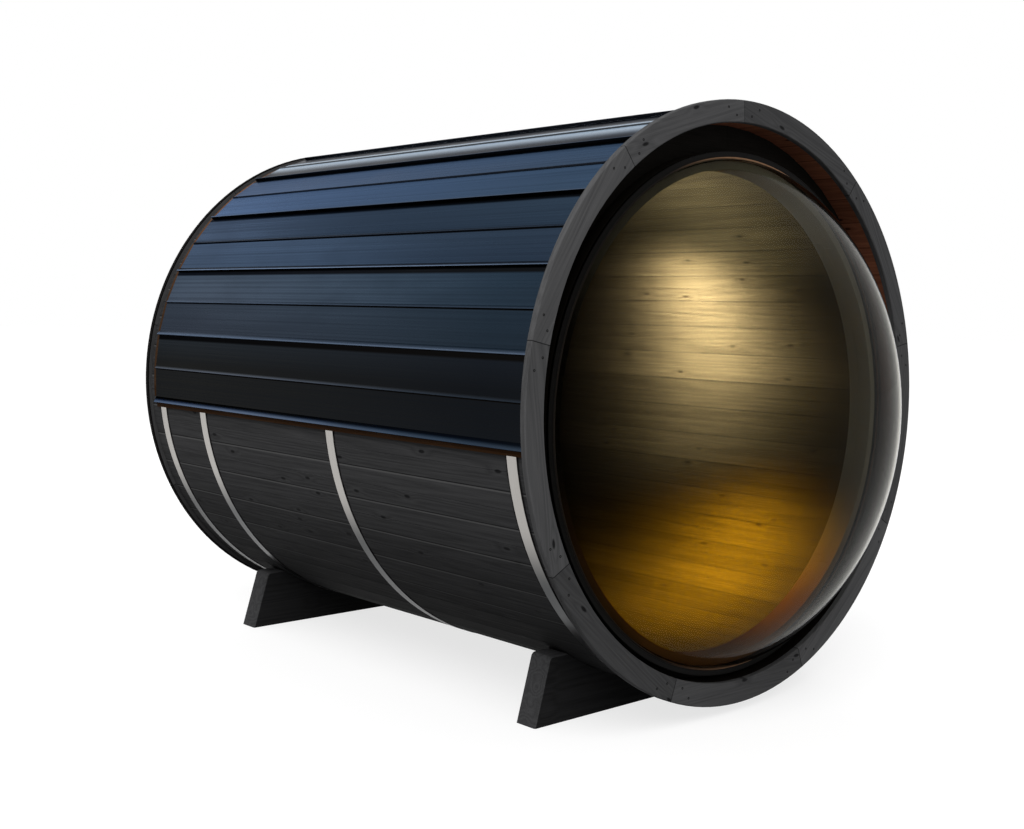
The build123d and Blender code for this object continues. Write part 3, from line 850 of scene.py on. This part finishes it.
# %% Spin the bubble
spokes = 144
sharp_turn = radians(25)
bubble_mesh = bpy.data.meshes.new("bubble_window")
shape = bmesh.new()
turns = [2 * pi * s / spokes for s in range(spokes)]
hoops = []
for radius, depth in section:
    points = [(radius * sin(turn), depth, dome_height + radius * cos(turn)) for turn in turns]
    hoops.append([shape.verts.new(point) for point in points])
for hoop, following in zip(hoops, hoops[1:]):
    for s in range(spokes):
        t = (s + 1) % spokes
        shape.faces.new((hoop[s], hoop[t], following[t], following[s]))
for hoop, crown in ((hoops[0], dome_low.y), (hoops[-1], dome_low.y + sheet_thickness)):
    top = shape.verts.new((0, crown, dome_height))
    for s in range(spokes):
        shape.faces.new((hoop[s], hoop[(s + 1) % spokes], top))
bmesh.ops.recalc_face_normals(shape, faces=shape.faces)
for face in shape.faces:
    face.smooth = True
for edge in shape.edges:
    edge.smooth = edge.calc_face_angle(0.0) < sharp_turn
shape.to_mesh(bubble_mesh)
shape.free()
bubble = new_piece("bubble_window", bubble_mesh)
print("bubble window:", len(bubble_mesh.polygons), "faces")

# %% [markdown]
# Tinted acrylic is clear, smooth and a little smoky. The tint sits on the shader's base
# colour, since light crosses both faces of the sheet. A faint, slow change in the tint keeps
# it from looking flat. The sheet bends light less than real acrylic does, so that the room
# shows through it up to the rim.

# %% Tinted acrylic
acrylic_finish, tree, shader, place = new_finish(
    "tinted_acrylic", IOR=1.05, Transmission_Weight=1.0, Roughness=0.0
)
haze = noise(tree, place, scale=5.0, detail=4.0)
tint = blend_colors(tree, haze, (0.33, 0.32, 0.27, 1), (0.37, 0.36, 0.31, 1))
tree.links.new(tint, shader.inputs["Base Color"])
bubble_mesh.materials.append(acrylic_finish)
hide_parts("window_dome")
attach(bubble, "root")
print("bubble window:", acrylic_finish.name)

# %% [markdown]
# Small things that repeat, or that follow a path, are grown by Geometry Nodes: a tree with
# named inputs, run once, whose result is kept as a plain mesh. The helper sets each input
# by its socket before the tree first runs, and removes the maker afterwards.

# %% A helper that runs a geometry tree


def new_maker(name, inputs):
    """Start a geometry tree with named inputs and one output."""
    tree = bpy.data.node_groups.new(name, "GeometryNodeTree")
    for socket, kind in inputs:
        tree.interface.new_socket(socket, in_out="INPUT", socket_type=kind)
    tree.interface.new_socket("Geometry", in_out="OUTPUT", socket_type="NodeSocketGeometry")
    return tree, tree.nodes.new("NodeGroupInput").outputs, tree.nodes.new("NodeGroupOutput")


def finish_maker(tree, geometry, material, result):
    """End a tree as every maker here ends: real meshes with their finish."""
    real = node(tree, "GeometryNodeRealizeInstances", {0: geometry}).outputs[0]
    coated = node(tree, "GeometryNodeSetMaterial", {"Geometry": real, "Material": material})
    tree.links.new(coated.outputs[0], result.inputs[0])


def grow(tree, name, values):
    """Run a geometry tree with these inputs and keep its result as a plain piece."""
    maker = new_piece(name + "_maker", bpy.data.meshes.new(name + "_maker"))
    modifier = maker.modifiers.new("maker", "NODES")
    modifier.node_group = tree
    for item in tree.interface.items_tree:
        if item.in_out == "INPUT":
            modifier[item.identifier] = values[item.name]
    grown = maker.evaluated_get(bpy.context.evaluated_depsgraph_get())
    mesh = bpy.data.meshes.new_from_object(grown)
    maker.modifiers.remove(modifier)
    bpy.data.objects.remove(maker)
    print(f"{name}: {len(mesh.polygons)} faces")
    return new_piece(name, mesh)


MATERIAL, COUNT = "NodeSocketMaterial", "NodeSocketInt"
print("helpers for makers:", [f.__name__ for f in (new_maker, finish_maker, grow)])

# %% [markdown]
# A bead of sealant runs round the foot of the bubble, between it and the black trim. It is a
# circle swept with a small round, the plainest use of a curve with a profile. It is tan on
# the right, and painted shade darkens it nearly to black on the left.

# %% Sealing bead round the bubble
bead_radius, bead_overlap = 0.004, 0.002
tan_side, black_side = 0.05, -0.4
bead_finish, tree, shader, place = new_finish("sealing_bead", Specular_IOR_Level=0.05)
mottle = noise(tree, place, scale=40.0, detail=3.0)
tan = blend_colors(tree, mottle, paint(110, 82, 60), paint(150, 116, 88))
# painted shade: the bead is darkened towards the left
shaded = spread(tree, split_place(tree, place)[0], tan_side, black_side, smooth=True)
color = blend_colors(tree, shaded, tan, paint(22, 18, 15))
set_surface(tree, shader, color, spread(tree, mottle, 0.3, 0.7, 0.35, 0.5))

bead_maker, given, result = new_maker(
    "bead_maker",
    [("Radius", VALUE), ("Thickness", VALUE), ("Centre", VECTOR), ("Finish", MATERIAL)],
)
tree = bead_maker
circles = []
for points, radius in ((192, given["Radius"]), (10, given["Thickness"])):
    round_line = {"Resolution": points, "Radius": radius}
    circles.append(node(tree, "GeometryNodeCurvePrimitiveCircle", round_line).outputs[0])
standing = {"Geometry": circles[0], "Translation": given["Centre"], "Rotation": (pi / 2, 0, 0)}
stood = node(tree, "GeometryNodeTransform", standing).outputs[0]
sweep = {"Curve": stood, "Profile Curve": circles[1]}
swept = node(tree, "GeometryNodeCurveToMesh", sweep).outputs[0]
smooth = node(tree, "GeometryNodeSetShadeSmooth", {"Geometry": swept}).outputs[0]
finish_maker(tree, smooth, given["Finish"], result)
bead = grow(bead_maker, "sealing_bead", {
    "Radius": base_radius + bead_overlap,
    "Thickness": bead_radius,
    "Centre": (0, flange_y - bead_overlap, dome_height),
    "Finish": bead_finish,
})
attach(bead, "root")

# %% [markdown]
# Each felloe is screwed to the stave ends beside its joints. A screw head is a short cylinder
# whose top is drawn in and pushed down for the driver: one extrusion of no height makes the
# inner ring, and a second one sinks it.

# %% One screw head
screw_maker, given, result = new_maker(
    "screw_maker",
    [("Joints", COUNT), ("First joint", VALUE), ("Felloe turn", VALUE), ("Radius", VALUE),
     ("From joint", VALUE), ("Stagger", VALUE), ("Head radius", VALUE), ("Head depth", VALUE),
     ("Centre", VECTOR), ("Facing", VALUE), ("Finish", MATERIAL)],
)
tree = screw_maker
disc = {"Vertices": 12, "Radius": given["Head radius"], "Depth": given["Head depth"]}
head = node(tree, "GeometryNodeMeshCylinder", disc).outputs


def extrude(mesh, faces, depth):
    """Push some faces of a mesh out together, or in if the depth is negative."""
    inputs = {"Mesh": mesh, "Selection": faces, "Offset Scale": depth, "Individual": False}
    return node(screw_maker, "GeometryNodeExtrudeMesh", inputs).outputs


rim = extrude(head["Mesh"], head["Top"], 0.0)
drawing = {"Geometry": rim["Mesh"], "Selection": rim["Top"], "Scale": 0.5}
drawn = node(tree, "GeometryNodeScaleElements", drawing).outputs[0]
driven = extrude(drawn, rim["Top"], times(tree, given["Head depth"], -0.5))
print("screw head:", len(tree.nodes), "nodes")

# %% [markdown]
# Four screws stand round every joint, two on each side, and the second of a pair stands
# twice as far off and further out. Simple sums on the number of a point give its place, and
# a head is put on each point.

# %% Screws beside the joints of the rings
per_joint = 4.0
index = node(tree, "GeometryNodeInputIndex").outputs[0]
joint = calc(tree, "FLOOR", calc(tree, "DIVIDE", index, per_joint))
corner = minus(tree, index, times(tree, joint, per_joint))
pair = calc(tree, "FLOOR", calc(tree, "DIVIDE", corner, 2.0))
side = minus(tree, times(tree, pair, 2.0), 1.0)
second = calc(tree, "MODULO", corner, 2.0)
in_or_out = minus(tree, times(tree, second, 2.0), 1.0)
reach = plus(tree, given["Radius"], times(tree, given["Stagger"], in_or_out))
offset = times(tree, times(tree, given["From joint"], plus(tree, second, 1.0)), side)
joint_turn = calc(tree, "MULTIPLY_ADD", joint, given["Felloe turn"], given["First joint"])
angle = plus(tree, joint_turn, calc(tree, "DIVIDE", offset, given["Radius"]))
x, z = (times(tree, reach, calc(tree, wave, angle)) for wave in ("SINE", "COSINE"))
shift = {0: join_place(tree, x, 0.0, z), 1: given["Centre"]}
spot = node(tree, "ShaderNodeVectorMath", shift, operation="ADD").outputs[0]
scatter = {"Count": times(tree, given["Joints"], per_joint), "Position": spot}
spots = node(tree, "GeometryNodePoints", scatter).outputs[0]
turned = join_place(tree, times(tree, given["Facing"], pi / 2))
planting = {"Points": spots, "Instance": driven["Mesh"], "Rotation": turned}
heads = node(tree, "GeometryNodeInstanceOnPoints", planting).outputs[0]
finish_maker(tree, heads, given["Finish"], result)

head_lift = 0.0009
for name, face_y, facing, radius in (
    ("front_screws", front_y, 1.0, 1.010),
    ("rear_screws", rear_y, -1.0, 1.003),
):
    screws = grow(screw_maker, name, {
        "Joints": felloe_count,
        "First joint": first_joint,
        "Felloe turn": felloe_turn,
        "Radius": radius,
        "From joint": 0.042,
        "Stagger": 0.014,
        "Head radius": 0.0042,
        "Head depth": 0.003,
        "Centre": (0, face_y + facing * head_lift, axis_height),
        "Facing": facing,
        "Finish": iron_finish,
    })
    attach(screws, "root")

# %% [markdown]
# The studio is a white sweep: a pale floor that keeps the shadow, and a sky that is white to
# the eye, in mirrors and through glass, but lights the wood at a plain level. What kind of
# ray is asking decides between the two.

# %% Studio floor and sky


def seen_share(tree):
    """1 for rays from the eye, off a mirror or through glass, and 0 for the rest."""
    path = tree.nodes.new("ShaderNodeLightPath").outputs
    mirrored = calc(tree, "MAXIMUM", path["Is Glossy Ray"], path["Is Transmission Ray"])
    return calc(tree, "MAXIMUM", path["Is Camera Ray"], mirrored)


reach = 60
corners = [(-reach, -reach, 0), (reach, -reach, 0), (reach, reach, 0), (-reach, reach, 0)]
floor_mesh = bpy.data.meshes.new("floor")
floor_mesh.from_pydata(corners, [], [(0, 1, 2, 3)])
floor = new_piece("floor", floor_mesh)
floor_finish, tree, shader, place = new_finish(
    "floor_paper",
    Base_Color=(0.3, 0.3, 0.3, 1),
    Roughness=0.9,
    Specular_IOR_Level=0.0,
    Emission_Color=(1, 1, 1, 1),
)
tree.links.new(times(tree, seen_share(tree), 0.75), shader.inputs["Emission Strength"])
floor_mesh.materials.append(floor_finish)

world = bpy.data.worlds.new("studio")
bpy.context.scene.world = world
world.use_nodes = True
tree = world.node_tree
tree.nodes.clear()
strength = spread(tree, seen_share(tree), 0, 1, 0.55, 1.0)
sky = node(tree, "ShaderNodeBackground", {"Color": (1, 1, 1, 1), "Strength": strength})
tree.links.new(sky.outputs[0], node(tree, "ShaderNodeOutputWorld").inputs["Surface"])
print("studio:", floor.name, "and", world.name)

# %% [markdown]
# One broad lamp stands for a large soft window at the upper left, a second draws a light
# along the roof from behind, and a third lifts the rear end. Three small lamps in the room,
# two pale and one amber, give the bubble its glow.

# %% Lamps


def add_lamp(name, kind, power, place, target, **settings):
    """Stand a lamp at a place, turn it to a target, and make its settings."""
    lamp = new_piece(name, bpy.data.lights.new(name, kind))
    lamp.data.energy = power
    for setting, value in settings.items():
        setattr(lamp.data, setting, value)
    lamp.location = place
    lamp.rotation_euler = (Vector(target) - Vector(place)).to_track_quat("-Z", "Y").to_euler()
    return lamp


key = add_lamp("key", "SUN", 2.2, (-5.5, -4.5, 7.0), (0, 0, 0), angle=radians(40))
key.visible_glossy = key.visible_transmission = False
kicker = add_lamp("kicker", "AREA", 115, (-3.2, 9.0, 5.4), (0, 0.6, 1.6),
                  shape="RECTANGLE", size=6.0, size_y=3.4)
kicker.visible_camera = False
fill = add_lamp("fill", "AREA", 320, (4.5, 8.0, 4.0), (0, 1.4, 1.2),
                shape="RECTANGLE", size=6.0, size_y=4.0)
fill.visible_camera = fill.visible_glossy = fill.visible_transmission = False
for name, power, color, place, target in (
    ("room_lamp", 248, (0.92, 0.92, 0.96), (0.59, -0.07, 1.36), (0.95, -0.05, 1.33)),
    ("top_lamp", 60, (0.86, 0.92, 1.0), (0.30, -0.35, 1.50), (0.55, -0.30, 1.88)),
    ("low_lamp", 128, (1.0, 0.60, 0.03), (0.42, -0.45, 0.68), (0.64, -0.43, 0.30)),
):
    lamp = add_lamp(name, "SPOT", power, place, target, color=color,
                    spot_size=radians(150), spot_blend=1.0, shadow_soft_size=0.08)
    lamp.visible_camera = lamp.visible_glossy = lamp.visible_transmission = False

# %% [markdown]
# The colours above were read from a picture, so the view has to show them as they are,
# without the softening that Blender's usual view adds.

# %% View settings
bpy.context.scene.view_settings.view_transform = "Standard"
print("view:", bpy.context.scene.view_settings.view_transform)
